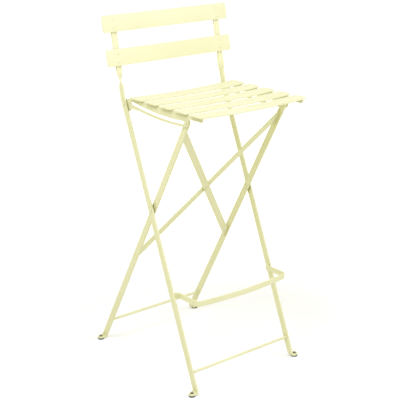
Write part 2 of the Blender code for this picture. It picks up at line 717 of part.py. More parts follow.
def add_leg_rivet(side_name, side):
    """The scissor rivet through both bars, with a spacer that keeps the bars a rail apart."""
    top = BAR_THICKNESS / 2 + SEATING_GAP
    bottom = SHORT_X - LONG_X - BAR_THICKNESS / 2 - SEATING_GAP
    profile = rivet_profile(LEG_RIVET_RADIUS, LEG_RIVET_HEAD_RADIUS, top, bottom)
    add_turned(f"{side_name}_leg_rivet", profile, FRONT_FRAME, outward(side, LEG_PIVOT, LONG_X))
    thickness = RAIL_THICKNESS + 2 * SIDE_CLEARANCE - 2 * SEATING_GAP
    bore = circle((0, 0), LEG_RIVET_RADIUS + HOLE_CLEARANCE)
    mesh = plate_mesh(f"{side_name}_leg_spacer", [circle((0, 0), SPACER_RADIUS), bore], thickness)
    add_piece(f"{side_name}_leg_spacer", mesh, FRONT_FRAME, outward(side, LEG_PIVOT, RAIL_X))


def add_seat_rivet(name, side):
    top = BAR_THICKNESS / 2 + SEATING_GAP
    bottom = RAIL_X - LONG_X - RAIL_THICKNESS / 2 - SEATING_GAP
    profile = rivet_profile(SEAT_RIVET_RADIUS, SEAT_RIVET_HEAD_RADIUS, top, bottom)
    add_turned(name, profile, FRONT_FRAME, outward(side, SEAT_PIVOT, LONG_X))


def add_slot_pin(name, side):
    """A shouldered pin through the short bar, which runs in the rail's slot behind a flat head."""
    inner = -BAR_THICKNESS / 2 - SEATING_GAP
    shoulder = BAR_THICKNESS / 2 + SEATING_GAP
    head = RAIL_X - SHORT_X + RAIL_THICKNESS / 2 + SEATING_GAP
    tail = [(r, inner - h) for r, h in dome(SLOT_PIN_TAIL_RADIUS, 0, RIVET_HEAD_HEIGHT)]
    profile = dome(SLOT_PIN_HEAD_RADIUS, head, RIVET_HEAD_HEIGHT) + [
        (SLOT_PIN_RADIUS, head),
        (SLOT_PIN_RADIUS, shoulder),
        (SLOT_PIN_SHANK_RADIUS, shoulder),
        (SLOT_PIN_SHANK_RADIUS, inner),
    ]
    add_turned(name, profile + tail[::-1], REAR_FRAME, outward(side, SLOT_PIN, SHORT_X))


for side_name, side in SIDES.items():
    add_long_bar(f"{side_name}_long_bar", side)
    add_short_bar(f"{side_name}_short_bar", side)
    add_glide(f"front_{side_name}_glide", side, LONG_X, LONG_UP, FRONT_FRAME)
    add_glide(f"rear_{side_name}_glide", side, SHORT_X, SHORT_UP, REAR_FRAME)
    add_leg_rivet(side_name, side)
    add_seat_rivet(f"{side_name}_seat_rivet", side)
    add_slot_pin(f"{side_name}_slot_pin", side)
    add_seat_rail(f"{side_name}_seat_rail", side)

for index, slat_name in enumerate(("lower_back_slat", "top_back_slat")):
    add_back_slat(slat_name, index)
    add_back_rivets(index, slat_name)

add_rod("front_stretcher", LONG_UP, FRONT_STRETCHER_HEIGHT, LONG_X, FRONT_FRAME)
add_rod("rear_stretcher", SHORT_UP, REAR_STRETCHER_HEIGHT, SHORT_X, REAR_FRAME)
add_footrest("footrest")
add_brace("front_brace", LEFT, 1)
add_brace("rear_brace", RIGHT, -1)
add_brace_rivet("brace_rivet")
add_seat_slats()

PLACES = {
    "leg pivot": LEG_PIVOT,
    "seat pivot": SEAT_PIVOT,
    "slot pin": SLOT_PIN,
    "front right foot": foot_centre(RIGHT, LONG_X, LONG_UP),
    "rear right foot": foot_centre(RIGHT, SHORT_X, SHORT_UP),
    "footrest": leg_point(0, LONG_UP, FOOTREST_HEIGHT),
}
for label, place in PLACES.items():
    print(label, [round(v, 6) for v in place])
print("legs fold by", round(degrees(LEG_FOLD_RANGE), 2), "degrees")
print("seat folds by", round(degrees(LEG_FOLD_RANGE * SEAT_FOLD_RATIO), 2), "degrees")
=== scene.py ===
"""Looks of the bar-height folding bistro chair.

Every steel piece is modelled again over its solid, with the rolled edges of flat bar, smooth
bends, pressed slats and domed rivets, and the welds are added. All of it is powder coated in
pale lemon but for the black plastic glides. Metres, in the part's own frame.
"""

import json
from math import atan2, cos, floor, pi, radians, sin, sqrt, tan

import bmesh
import bpy
from mathutils import Matrix, Vector

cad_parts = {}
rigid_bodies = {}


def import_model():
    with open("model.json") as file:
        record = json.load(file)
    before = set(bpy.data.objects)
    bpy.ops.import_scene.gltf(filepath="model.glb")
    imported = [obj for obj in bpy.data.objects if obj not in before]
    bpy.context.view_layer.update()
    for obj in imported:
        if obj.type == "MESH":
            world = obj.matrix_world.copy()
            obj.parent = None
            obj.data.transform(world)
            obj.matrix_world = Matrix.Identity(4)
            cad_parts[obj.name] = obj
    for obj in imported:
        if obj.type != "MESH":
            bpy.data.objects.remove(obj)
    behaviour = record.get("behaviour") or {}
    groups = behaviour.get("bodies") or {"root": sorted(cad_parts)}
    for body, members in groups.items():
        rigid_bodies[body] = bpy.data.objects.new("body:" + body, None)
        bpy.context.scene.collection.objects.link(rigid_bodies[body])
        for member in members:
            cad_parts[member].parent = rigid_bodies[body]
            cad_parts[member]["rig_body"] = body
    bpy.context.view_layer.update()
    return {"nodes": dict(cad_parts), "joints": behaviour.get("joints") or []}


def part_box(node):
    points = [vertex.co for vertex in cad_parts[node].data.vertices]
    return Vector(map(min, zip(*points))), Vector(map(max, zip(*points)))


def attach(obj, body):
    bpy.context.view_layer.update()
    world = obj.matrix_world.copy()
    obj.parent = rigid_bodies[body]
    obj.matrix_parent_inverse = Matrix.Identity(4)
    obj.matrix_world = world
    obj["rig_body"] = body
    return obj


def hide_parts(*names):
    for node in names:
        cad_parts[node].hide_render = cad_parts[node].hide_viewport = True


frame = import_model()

# Flat bar, with the rolled edge that the solids leave plain
BAR_WIDTH = 0.0185
BAR_THICKNESS = 0.005
BAR_EDGE = 0.0011
PLATE_EDGE = 0.0007
SHORT_BAR_OVER_PIN = 0.0095
SEATING_GAP = 0.0003

# Backrest
POST_LEAN = radians(11.6)
POST_BEND_ABOVE_PIVOT = 0.0144
POST_BEND_RADIUS = 0.05
TWIST_LENGTH = 0.06
TWIST_BELOW_SLAT = 0.003
BACK_SLAT_WIDTH = 0.045
BACK_SLAT_END_BOW = 0.0006
BACK_RIVET_PITCH = 0.021
POST_TOP_INSET = 0.005

# Pressed sheet of the slats
SLAT_SHEET = 0.0035
SLAT_CROWN = 0.0005
SLAT_CORNER = 0.0035
SLAT_EDGE = 0.0005
SLAT_END_HALF = 0.0035
SEAT_SLAT_COUNT = 5
SEAT_SLAT_DISH = 0.0045
SEAT_SLAT_END_BOW = 0.0035

# Seat rail
SLOT_HALF = 0.0042
GUIDE_RADIUS = 0.0107
LEG_FOLD_RANGE = radians(46)
SEAT_FOLD_RATIO = 0.65
PIVOT_HOLE_RADIUS = 0.0033
STOP_LUG_RADIUS = 0.008
STOP_LUG_AHEAD = 0.015
RAIL_FRONT_HEIGHT = 0.011
RAIL_FRONT_CORNER = 0.006

# Rivets, pins and spacers
RIVET_HEAD_HEIGHT = 0.002
BACK_RIVET_HEAD_HEIGHT = 0.0009
LEG_RIVET_RADIUS = 0.0032
LEG_RIVET_HEAD_RADIUS = 0.0062
SEAT_RIVET_RADIUS = 0.003
SEAT_RIVET_HEAD_RADIUS = 0.0055
BACK_RIVET_RADIUS = 0.002
BACK_RIVET_HEAD_RADIUS = 0.0038
BRACE_RIVET_RADIUS = 0.0025
BRACE_RIVET_HEAD_RADIUS = 0.005
SLOT_PIN_RADIUS = 0.0035
SLOT_PIN_SHANK_RADIUS = 0.0028
SLOT_PIN_HEAD_RADIUS = 0.006
SLOT_PIN_TAIL_RADIUS = 0.0045
SPACER_RADIUS = 0.0055
SPACER_BORE_RADIUS = 0.0035
SPACER_EDGE = 0.0004

# X-brace and footrest
BRACE_WIDTH = 0.0195
BRACE_THICKNESS = 0.004
BRACE_SPAN = 0.443
FOOTREST_BAR_THICKNESS = 0.004
FOOTREST_BOW = 0.0132
FOOTREST_CORNER = 0.012
FOOTREST_INSET = 0.0139
FOOTREST_ROOT_RADIUS = 0.008
FOOTREST_ROOT_AHEAD = 0.004

# Feet
FOOT_OFFSET = 0.014
FOOT_BEND_RADIUS = 0.0065
FOOT_TIP_RADIUS = 0.0088
GLIDE_RADIUS = 0.0088
GLIDE_THICKNESS = 0.0036
GLIDE_EDGE = 0.001
GLIDE_STEM_RADIUS = 0.003
GLIDE_CAP_RADIUS = 0.0044
GLIDE_CAP_HEIGHT = 0.003

# Welds
BEAD_RADIUS = 0.0013
BEAD_PITCH = 0.0022
BEAD_RIPPLE = 0.16
BEAD_TAPER_POWER = 6
LEAST_BEAD_SHARE = 0.25
LEAST_RIPPLES = 2
ROD_WELD = 0.0022
SLAT_WELD_LENGTH = 0.009

# Smoothness
EDGE_STEPS = 4
PLATE_EDGE_STEPS = 2
BEND_STEPS = 14
TWIST_STEPS = 28
CROWN_STEPS = 18
DISH_STEPS = 16
SLOT_STEPS = 24
DOME_STEPS = 7
TURN_STEPS = 40
BEAD_STEPS = 10
RINGS_PER_RIPPLE = 4
ROUND_TIP_STOP = 0.3
ROUND_SHARE = 0.9
WELD_DISTANCE = 1e-6
SHARP_ANGLE = radians(40)

# Camera of the photograph
CAMERA_PLACE = Vector((-1.7212, -2.1202, 1.3519))
CAMERA_AZIMUTH = radians(-39.287)
CAMERA_ELEVATION = radians(18.247)
CAMERA_LENS_MM = 93.87
CAMERA_SENSOR_MM = 36.0

# Light: a warm even fill, and soft lamps cooler than it
WHITE = (1.0, 1.0, 1.0, 1.0)
FILL = 0.55
FILL_TINT = (1.0, 0.99, 0.56, 1.0)
LAMP_TINT = (0.6, 0.6, 1.0)
FLOOR_COLOUR = (0.86, 0.86, 0.86, 1.0)
FLOOR_GLOW_NEAR = 0.3
FLOOR_GLOW_FAR = 1.0
FLOOR_NEAR = 0.45
FLOOR_FAR = 1.6
FLOOR_HALF = 9.0

# Soft square lamps: name, place, target, side and power in watts
LAMPS = (
    ("left_lamp", (-1.9, -0.4, 2.2), (0, 0, 0.7), 1.4, 23.5),
    ("right_lamp", (1.2, -1.6, 2.2), (0, 0, 0.6), 1.4, 23),
    ("front_lamp", (0.1, -1.5, 1.7), (0, 0.1, 0.9), 1.2, 8.8),
    ("high_lamp", (-1.1, -0.4, 2.5), (0, 0, 0.6), 1.0, 14),
)

# Colours, linear
LEMON = (0.93, 0.915, 0.535, 1.0)
LEMON_DEEP = (0.9, 0.88, 0.49, 1.0)
# Painted shade: colours that the paint is darkened towards in narrow corners and under overhangs,
# strongest on the seat rails under the slats, and how far it reaches
LEMON_PAINTED_CORNER_SHADE = (0.55, 0.54, 0.25, 1.0)
RAIL_PAINTED_SHADE = (0.2, 0.19, 0.05, 1.0)
PAINTED_SHADE_REACH = 0.014
BLACK = (0.02, 0.02, 0.021, 1.0)
# Pale black, for scuffs and for a painted highlight on faces turned up
BLACK_PALE_SCUFF_AND_HIGHLIGHT = (0.2, 0.19, 0.12, 1.0)

# Grain of the surfaces: noise scales, and the ranges that the noise is spread over
FULL_RANGE = (0, 1)
NOISE_MIDDLE = (0.3, 0.7)
FINE_DETAIL = 2
DRIFT_SCALE = 9
DRIFT_DETAIL = 3
PAINT_GLOSS_SCALE = 140
PAINT_ROUGHNESS = (0.36, 0.46)
PEEL_SCALE = 850
PEEL_STRENGTH = 0.25
PEEL_DEPTH = 0.00008
SCUFF_SCALE = 420
SCUFF_DETAIL = 4
SCUFF_NOISE = (0.5, 0.75)
SCUFF_SHARES = (0, 0.2)
# Painted highlight: how far up a plastic face must turn to go pale
PAINTED_HIGHLIGHT_SLOPES = (0.2, 0.8)
PLASTIC_GLOSS_SCALE = 260
PLASTIC_ROUGHNESS = (0.42, 0.6)
GRAIN_SCALE = 1600
GRAIN_STRENGTH = 0.35
GRAIN_DEPTH = 0.0001


def middle(node):
    """The middle of a node's box at rest."""
    low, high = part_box(node)
    return (low + high) / 2


# Places read from the frame
LEFT = -1
RIGHT = 1
SIDES = {"left": LEFT, "right": RIGHT}
JOINT_PLACES = {joint["name"]: Vector(joint["pos_m"]) for joint in frame["joints"]}
LEG_PIVOT = JOINT_PLACES["leg_fold"]
SEAT_PIVOT = JOINT_PLACES["seat_fold"]
SLOT_PIN = Vector((0, *middle("right_slot_pin").yz))
RAIL_X = middle("right_seat_rail").x
RAIL_LOW, RAIL_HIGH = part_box("right_seat_rail")
RAIL_THICKNESS = RAIL_HIGH.x - RAIL_LOW.x
LONG_X = middle("top_back_slat_right_upper_rivet").x
SHORT_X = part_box("right_short_bar")[0].x + BAR_THICKNESS / 2
LONG_UP = (SEAT_PIVOT - LEG_PIVOT).normalized()
SHORT_UP = (SLOT_PIN - LEG_PIVOT).normalized()
POST_UP = Vector((0, sin(POST_LEAN), cos(POST_LEAN)))
POST_FRONT = Vector((0, -cos(POST_LEAN), sin(POST_LEAN)))
POST_BEND = SEAT_PIVOT + POST_BEND_ABOVE_PIVOT * LONG_UP
TAB_HEIGHT = GLIDE_THICKNESS + SEATING_GAP + BAR_THICKNESS / 2
BACK_SLATS = ("lower_back_slat", "top_back_slat")


def noise(tree, coordinates, scale, detail=FINE_DETAIL):
    """Noise of a scale in the piece's own coordinates."""
    node = tree.nodes.new("ShaderNodeTexNoise")
    node.inputs["Scale"].default_value = scale
    node.inputs["Detail"].default_value = detail
    tree.links.new(coordinates, node.inputs["Vector"])
    return node.outputs["Fac"]


def spread(tree, value, source, target):
    """A value's range, stretched to another range and held inside it."""
    node = tree.nodes.new("ShaderNodeMapRange")
    for name, number in zip(("From Min", "From Max", "To Min", "To Max"), source + target):
        node.inputs[name].default_value = number
    tree.links.new(value, node.inputs["Value"])
    return node.outputs["Result"]


def blended(tree, share, first, second):
    """A mix of two colours, each of them fixed or another node's output."""
    node = tree.nodes.new("ShaderNodeMix")
    node.data_type = "RGBA"
    for name, colour in (("A", first), ("B", second)):
        if isinstance(colour, bpy.types.NodeSocket):
            tree.links.new(colour, node.inputs[name])
        else:
            node.inputs[name].default_value = colour
    tree.links.new(share, node.inputs["Factor"])
    return node.outputs["Result"]


def combined(tree, operation, first, second):
    """Two values joined by a step of arithmetic."""
    node = tree.nodes.new("ShaderNodeMath")
    node.operation = operation
    tree.links.new(first, node.inputs[0])
    tree.links.new(second, node.inputs[1])
    return node.outputs["Value"]


def bumped(tree, height, strength, distance):
    """A surface normal tilted by a height."""
    node = tree.nodes.new("ShaderNodeBump")
    node.inputs["Strength"].default_value = strength
    node.inputs["Distance"].default_value = distance
    tree.links.new(height, node.inputs["Height"])
    return node.outputs["Normal"]


def with_painted_corner_shade(tree, colour, painted_shade_colour):
    """A colour darkened towards a painted shade colour where other surfaces are close, as in narrow
    corners: painted contact shade.
    """
    # Painted shade: the colour goes darker where ambient occlusion finds other surfaces close by
    openness = tree.nodes.new("ShaderNodeAmbientOcclusion")
    openness.inputs["Distance"].default_value = PAINTED_SHADE_REACH
    return blended(tree, openness.outputs["AO"], painted_shade_colour, colour)


def new_surface(name):
    """A new material with its node tree, its shader and the piece's own coordinates."""
    material = bpy.data.materials.new(name)
    material.use_nodes = True
    tree = material.node_tree
    coordinates = tree.nodes.new("ShaderNodeTexCoord")
    return material, tree, tree.nodes["Principled BSDF"], coordinates.outputs


def powder_coat(name, painted_shade_colour):
    """Satin powder coat: a faint drift of colour, painted shade in narrow corners, uneven gloss and a
    fine orange peel.
    """
    material, tree, shader, coordinates = new_surface(name)
    place = coordinates["Object"]
    drift = spread(tree, noise(tree, place, DRIFT_SCALE, DRIFT_DETAIL), NOISE_MIDDLE, FULL_RANGE)
    paint = blended(tree, drift, LEMON, LEMON_DEEP)
    # Painted shade: the base colour darkens in narrow corners
    tree.links.new(with_painted_corner_shade(tree, paint, painted_shade_colour), shader.inputs["Base Color"])
    roughness = spread(tree, noise(tree, place, PAINT_GLOSS_SCALE), NOISE_MIDDLE, PAINT_ROUGHNESS)
    tree.links.new(roughness, shader.inputs["Roughness"])
    peel = bumped(tree, noise(tree, place, PEEL_SCALE), PEEL_STRENGTH, PEEL_DEPTH)
    tree.links.new(peel, shader.inputs["Normal"])
    return material


def moulded_plastic():
    """Black plastic with a matt grain, scuffed paler in spots, and painted paler on its upper side as a
    highlight.
    """
    material, tree, shader, coordinates = new_surface("black_plastic")
    place = coordinates["Object"]
    scuff = spread(tree, noise(tree, place, SCUFF_SCALE, SCUFF_DETAIL), SCUFF_NOISE, SCUFF_SHARES)
    # Painted highlight: faces turned up are mixed towards the pale black, along with the random scuffs
    facing = tree.nodes.new("ShaderNodeSeparateXYZ")
    tree.links.new(coordinates["Normal"], facing.inputs["Vector"])
    painted_top_highlight = spread(tree, facing.outputs["Z"], PAINTED_HIGHLIGHT_SLOPES, FULL_RANGE)
    scuff_and_painted_highlight = combined(tree, "MAXIMUM", scuff, painted_top_highlight)
    tree.links.new(blended(tree, scuff_and_painted_highlight, BLACK, BLACK_PALE_SCUFF_AND_HIGHLIGHT), shader.inputs["Base Color"])
    roughness = spread(tree, noise(tree, place, PLASTIC_GLOSS_SCALE), NOISE_MIDDLE, PLASTIC_ROUGHNESS)
    tree.links.new(roughness, shader.inputs["Roughness"])
    grain = bumped(tree, noise(tree, place, GRAIN_SCALE), GRAIN_STRENGTH, GRAIN_DEPTH)
    tree.links.new(grain, shader.inputs["Normal"])
    return material


# Copies of one powder coat that differ only in their painted corner shade: mild on most pieces, faint on
# the back slats and their rivets, deep on the seat rails under the slats
PAINT = powder_coat("lemon_powder_coat", LEMON_PAINTED_CORNER_SHADE)
BACK_PAINT_FAINT_PAINTED_SHADE = powder_coat("lemon_powder_coat_back_faint_painted_shade", LEMON_DEEP)
RAIL_PAINT_DEEP_PAINTED_SHADE = powder_coat("lemon_powder_coat_rail_deep_painted_shade", RAIL_PAINTED_SHADE)
PLASTIC = moulded_plastic()


def finished(name, shape):
    """A mesh from a bmesh, welded, facing out and smooth between its sharp edges."""
    bmesh.ops.remove_doubles(shape, verts=shape.verts, dist=WELD_DISTANCE)
    bmesh.ops.recalc_face_normals(shape, faces=shape.faces)
    mesh = bpy.data.meshes.new(name)
    shape.to_mesh(mesh)
    shape.free()
    mesh.shade_smooth()
    mesh.set_sharp_from_angle(angle=SHARP_ANGLE)
    return mesh


def add_piece(name, mesh, body, material=PAINT):
    """A piece that rides on a body, with its flat faces shaded flat up to their rounded edges."""
    piece = bpy.data.objects.new(name, mesh)
    mesh.materials.append(material)
    bpy.context.scene.collection.objects.link(piece)
    flats = piece.modifiers.new("flats", "WEIGHTED_NORMAL")
    flats.keep_sharp = True
    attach(piece, body)
    return piece


def dress(node, mesh, material=PAINT):
    """A finished piece in the place of its solid, on the same body."""
    piece = add_piece(node + "_finish", mesh, frame["nodes"][node]["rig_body"], material)
    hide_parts(node)


def frame_at(place, along_x, along_y):
    """A frame whose X and Y axes are given, with Z square to both."""
    axis_x = Vector(along_x).normalized()
    axis_y = Vector(along_y).normalized()
    turn = Matrix((axis_x, axis_y, axis_x.cross(axis_y))).transposed().to_4x4()
    return Matrix.Translation(place) @ turn


def outward(side, place, x):
    """A frame at a distance x from the middle plane whose local Z points out of the chair's side."""
    return frame_at(Vector((side * x, place.y, place.z)), (0, side, 0), (0, 0, 1))


def quarter_turn(steps):
    """Angles from 0 to a quarter turn, in equal steps."""
    return [pi / 2 * step / steps for step in range(steps + 1)]


def tip_turn():
    """Angles up to a round tip, which stop just short of where a bar would have no width."""
    return [pi / 2 * (step - ROUND_TIP_STOP) / BEND_STEPS for step in range(1, BEND_STEPS + 1)]


def arc(centre, radius, start, end, steps=BEND_STEPS):
    """Points on an arc, from its first angle to its last."""
    points = []
    for step in range(steps + 1):
        angle = start + (end - start) * step / steps
        points.append((centre[0] + radius * cos(angle), centre[1] + radius * sin(angle)))
    return points


def bowed_end(half, reach, bow, corner, steps=BEND_STEPS):
    """A bowed edge with round corners, from left to right, as arcs that bulge down to -reach."""
    bow_radius = (half * half + bow * bow) / (2 * bow)
    bow_centre = bow_radius - reach
    corner_x = half - corner
    corner_y = bow_centre - sqrt((bow_radius - corner) ** 2 - corner_x * corner_x)
    bow_angle = atan2(corner_y - bow_centre, corner_x)
    return [
        ((-corner_x, corner_y), corner, -pi, -pi - bow_angle, steps),
        ((0, bow_centre), bow_radius, -pi - bow_angle, bow_angle, 2 * steps),
        ((corner_x, corner_y), corner, bow_angle, 0, steps),
    ]


def beside(path, distance):
    """A path's points, each moved square to the path, to its left."""
    moved = []
    for i, point in enumerate(path):
        run = path[min(i + 1, len(path) - 1)] - path[max(i - 1, 0)]
        moved.append(point + Vector((-run.y, run.x)).normalized() * distance)
    return moved


def heading(start, end):
    """The angle of the line from one point to another."""
    return atan2(end.y - start.y, end.x - start.x)


def skin(shape, rings):
    """Faces through rings of points, with one face each on the first and the last ring."""
    corners = [[shape.verts.new(point) for point in ring] for ring in rings]
    for lower, upper in zip(corners, corners[1:]):
        for i, corner in enumerate(lower):
            j = (i + 1) % len(lower)
            shape.faces.new((corner, lower[j], upper[j], upper[i]))
    shape.faces.new(corners[0])
    shape.faces.new(corners[-1])


def loft(name, rings):
    """A closed mesh through rings of points."""
    shape = bmesh.new()
    skin(shape, rings)
    return finished(name, shape)


def bar_ring(centre, across, through):
    """Points round a flat bar with rolled edges, from its half width and half thickness."""
    radius = min(BAR_EDGE, ROUND_SHARE * across.length, ROUND_SHARE * through.length)
    across_unit = across.normalized()
    through_unit = through.normalized()
    points = []
    for corner, (a, t) in enumerate(((1, 1), (-1, 1), (-1, -1), (1, -1))):
        heart = centre + a * (across - across_unit * radius) + t * (through - through_unit * radius)
        for step in range(EDGE_STEPS + 1):
            angle = pi / 2 * (corner + step / EDGE_STEPS)
            points.append(heart + radius * (across_unit * cos(angle) + through_unit * sin(angle)))
    return points


def rounded_end(end, across, through, along):
    """Rings that round a bar over to its end face, from the full section outward."""
    rings = []
    for angle in quarter_turn(EDGE_STEPS):
        inset = BAR_EDGE * (1 - cos(angle))
        centre = end + along * BAR_EDGE * (sin(angle) - 1)
        narrowed = across * (1 - inset / across.length)
        thinned = through * (1 - inset / through.length)
        rings.append(bar_ring(centre, narrowed, thinned))
    return rings


def leg_point(x, up, height):
    """The point of a leg's middle line at a height."""
    return Vector((x, LEG_PIVOT.y + (height - LEG_PIVOT.z) * up.y / up.z, height))


def foot_rings(side, x, up):
    """The leg's foot: a level tab with a round end, bent out of the leg's lower end."""
    across = Vector((0, BAR_WIDTH / (2 * up.z), 0))
    half = BAR_THICKNESS / 2
    tab = leg_point(x, up, TAB_HEIGHT)
    rings = []
    for angle in reversed(tip_turn()):
        tip = Vector((side * FOOT_TIP_RADIUS * sin(angle), FOOT_TIP_RADIUS * cos(angle), 0))
        centre = tab + Vector((side * FOOT_OFFSET + tip.x, 0, 0))
        rings.append(bar_ring(centre, Vector((0, tip.y, 0)), Vector((0, 0, half))))
    for angle in quarter_turn(BEND_STEPS):
        through = Vector((side * sin(angle), 0, cos(angle)))
        height = TAB_HEIGHT + FOOT_BEND_RADIUS * (1 - cos(angle))
        centre = leg_point(x, up, height)
        centre.x += side * FOOT_BEND_RADIUS * (1 - sin(angle))
        rings.append(bar_ring(centre, across, through * half))
    return rings


def back_slat_rise(slat):
    """Distance along the post from its bend to the middle of a back slat."""
    rivets = [middle(f"{slat}_right_{level}_rivet") for level in ("lower", "upper")]
    return ((rivets[0] + rivets[1]) / 2 - POST_BEND).dot(POST_UP)


def add_long_bar(side_name, side):
    """Front leg and back post in one bar, bent at the seat and twisted under the backrest."""
    x = Vector((side * LONG_X, 0, 0))
    half = BAR_THICKNESS / 2
    outside = Vector((side, 0, 0))
    rings = foot_rings(side, x.x, LONG_UP)
    leg_lean = atan2(LONG_UP.y, LONG_UP.z)
    bend = leg_lean - POST_LEAN
    start = POST_BEND - POST_BEND_RADIUS * tan(bend / 2) * LONG_UP + x
    for step in range(BEND_STEPS + 1):
        lean = leg_lean - bend * step / BEND_STEPS
        run = POST_BEND_RADIUS * (cos(lean) - cos(leg_lean))
        rise = POST_BEND_RADIUS * (sin(leg_lean) - sin(lean))
        across = Vector((0, cos(lean), -sin(lean))) * BAR_WIDTH / 2
        rings.append(bar_ring(start + Vector((0, run, rise)), across, outside * half))
    twist_end = back_slat_rise("lower_back_slat") - BACK_SLAT_WIDTH / 2 - TWIST_BELOW_SLAT
    for step in range(TWIST_STEPS + 1):
        share = step / TWIST_STEPS
        # The twist eases in and out, from 0 to a quarter turn
        turn = pi / 4 * (1 - cos(pi * share))
        across = -POST_FRONT * cos(turn) - outside * sin(turn)
        through = outside * cos(turn) - POST_FRONT * sin(turn)
        centre = POST_BEND + x + POST_UP * (twist_end - TWIST_LENGTH * (1 - share))
        rings.append(bar_ring(centre, across * BAR_WIDTH / 2, through * half))
    top_rise = back_slat_rise("top_back_slat") + BACK_SLAT_WIDTH / 2 - POST_TOP_INSET
    top = POST_BEND + x + POST_UP * top_rise
    rings += rounded_end(top, -outside * BAR_WIDTH / 2, -POST_FRONT * half, POST_UP)
    dress(f"{side_name}_long_bar", loft(f"{side_name}_long_bar", rings))


def add_short_bar(side_name, side):
    """Rear leg, rounded over at its upper end round the slot pin."""
    x = Vector((side * SHORT_X, 0, 0))
    through = Vector((side * BAR_THICKNESS / 2, 0, 0))
    square = Vector((0, SHORT_UP.z, -SHORT_UP.y)) * BAR_WIDTH / 2
    rings = foot_rings(side, x.x, SHORT_UP)
    top = SLOT_PIN + SHORT_UP * (SHORT_BAR_OVER_PIN - square.length) + x
    rings.append(bar_ring(top, square, through))
    for angle in tip_turn():
        centre = top + SHORT_UP * square.length * sin(angle)
        rings.append(bar_ring(centre, square * cos(angle), through))
    dress(f"{side_name}_short_bar", loft(f"{side_name}_short_bar", rings))


def crown(across, width):
    """How far a slat's arch rises over its edges, at a distance from its middle line."""
    return SLAT_CROWN * (1 - (2 * across / width) ** 2)


def slat_ring(half_width, width):
    """A slat's section as (across, rise): an arched sheet with eased long edges."""
    reach = half_width - SLAT_EDGE
    lower = crown(reach, width) + SLAT_EDGE
    upper = crown(reach, width) + SLAT_SHEET - SLAT_EDGE
    line = [reach * (2 * step / CROWN_STEPS - 1) for step in range(CROWN_STEPS + 1)]
    section = [(across, crown(across, width) + SLAT_SHEET) for across in reversed(line)]
    section += arc((-reach, upper), SLAT_EDGE, pi / 2, pi, EDGE_STEPS)[1:]
    section += arc((-reach, lower), SLAT_EDGE, pi, 3 * pi / 2, EDGE_STEPS)[:-1]
    section += [(across, crown(across, width)) for across in line]
    section += arc((reach, lower), SLAT_EDGE, -pi / 2, 0, EDGE_STEPS)[1:]
    section += arc((reach, upper), SLAT_EDGE, 0, pi / 2, EDGE_STEPS)[:-1]
    return section


def slat_mesh(name, matrix, width, length, end_bow, dish=0.0):
    """A pressed slat along local Z: rings from end to end that follow its bowed ends and its dish."""
    outline = []
    for centre, radius, start, end, steps in bowed_end(width / 2, length / 2, end_bow, SLAT_CORNER):
        outline += arc(centre, radius, start, end, steps)
    near = [(along, across) for across, along in outline if across > SLAT_END_HALF]
    straight = near[-1][0]
    middles = [(straight * (1 - 2 * step / DISH_STEPS), width / 2) for step in range(1, DISH_STEPS)]
    far = [(-along, half_width) for along, half_width in reversed(near)]
    rings = []
    for along, half_width in near + middles + far:
        share = 2 * along / length
        sag = dish * (1 - share * share)
        section = slat_ring(half_width, width)
        rings.append([matrix @ Vector((across, rise - sag, along)) for across, rise in section])
    return loft(name, rings)


def add_back_slat(slat):
    """A back slat against the front of the posts."""
    seat = POST_BEND + POST_UP * back_slat_rise(slat)
    matrix = frame_at(seat + POST_FRONT * (BAR_THICKNESS / 2 + SEATING_GAP), POST_UP, POST_FRONT)
    low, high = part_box(slat)
    mesh = slat_mesh(slat, matrix, BACK_SLAT_WIDTH, high.x - low.x, BACK_SLAT_END_BOW)
    dress(slat, mesh, BACK_PAINT_FAINT_PAINTED_SHADE)


def add_seat_slat(slat):
    """A seat slat across the rails, dished along its length."""
    low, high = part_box(slat)
    edge = high.z - SLAT_CROWN - SLAT_SHEET
    matrix = frame_at((0, (low.y + high.y) / 2, edge), (0, 1, 0), (0, 0, 1))
    width = high.y - low.y
    dress(slat, slat_mesh(slat, matrix, width, high.x - low.x, SEAT_SLAT_END_BOW, SEAT_SLAT_DISH))


def plate_mesh(name, loops, thickness, matrix):
    """A flat outline with holes, given its thickness and eased edges."""
    curve = bpy.data.curves.new(name, "CURVE")
    curve.dimensions = "2D"
    curve.fill_mode = "BOTH"
    curve.extrude = thickness / 2 - PLATE_EDGE
    curve.bevel_depth = PLATE_EDGE
    curve.bevel_resolution = PLATE_EDGE_STEPS
    curve.offset = -PLATE_EDGE
    for loop in loops:
        spline = curve.splines.new("POLY")
        spline.points.add(len(loop) - 1)
        for point, (across, up) in zip(spline.points, loop):
            point.co = (across, up, 0, 1)
        spline.use_cyclic_u = True
    drawn = bpy.data.objects.new(name, curve)
    bpy.context.scene.collection.objects.link(drawn)
    bpy.context.view_layer.update()
    evaluated = drawn.evaluated_get(bpy.context.evaluated_depsgraph_get())
    flat = bpy.data.meshes.new_from_object(evaluated)
    bpy.data.objects.remove(drawn, do_unlink=True)
    shape = bmesh.new()
    shape.from_mesh(flat)
    bpy.data.meshes.remove(flat)
    shape.transform(matrix)
    return finished(name, shape)


def pin_in_seat(turn):
    """The slot pin's place from the seat pivot, as the seat sees it once the legs have turned."""
    pin = Matrix.Rotation(-turn, 3, "X") @ (SLOT_PIN - LEG_PIVOT) + LEG_PIVOT - SEAT_PIVOT
    return Matrix.Rotation(SEAT_FOLD_RATIO * turn, 2) @ Vector((pin.y, pin.z))


